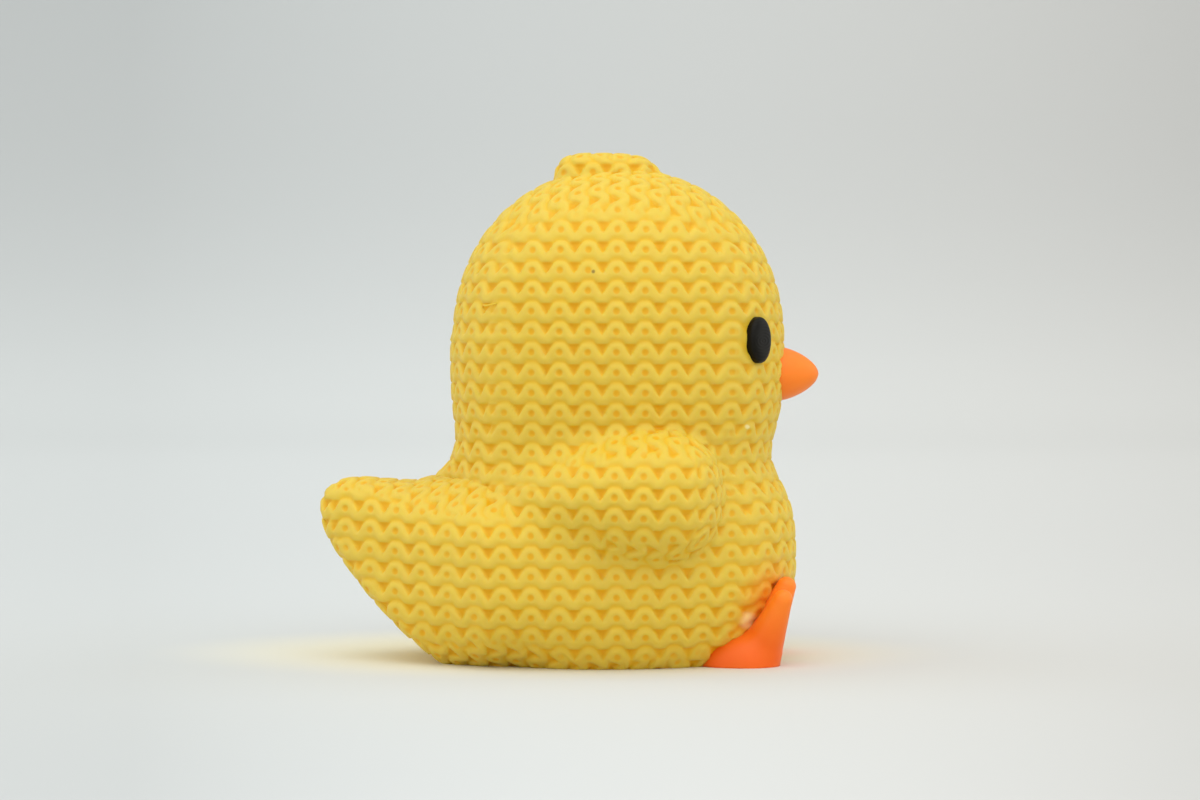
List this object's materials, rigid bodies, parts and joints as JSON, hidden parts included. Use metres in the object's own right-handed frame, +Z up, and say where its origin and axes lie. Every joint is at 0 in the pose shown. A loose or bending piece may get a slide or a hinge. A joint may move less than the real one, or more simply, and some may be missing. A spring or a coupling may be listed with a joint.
{
  "type": "knitted chick figure",
  "caption": "Small sitting chick figure of hard printed plastic with a knitted-stitch relief, a smooth beak, dome eyes and webbed feet, on a flat base.",
  "frame": {"origin": "on the floor, under the middle of the figure's box", "axes": "+X the way the beak points, +Y the figure's left, +Z up"},
  "size_m": [0.0747, 0.0606, 0.0755],
  "materials": {
    "knitted_body": "hard yellow printed plastic, satin, with a knit relief",
    "beak": "smooth satin orange plastic",
    "eye": "black satin plastic with faint print rings",
    "foot": "smooth orange plastic, a little see-through at thin edges"
  },
  "bodies": {
    "root": {"knitted_body": "knitted_body", "beak": "beak", "eye_left": "eye", "eye_right": "eye", "foot_left": "foot", "foot_right": "foot"}
  },
  "joints": []
}
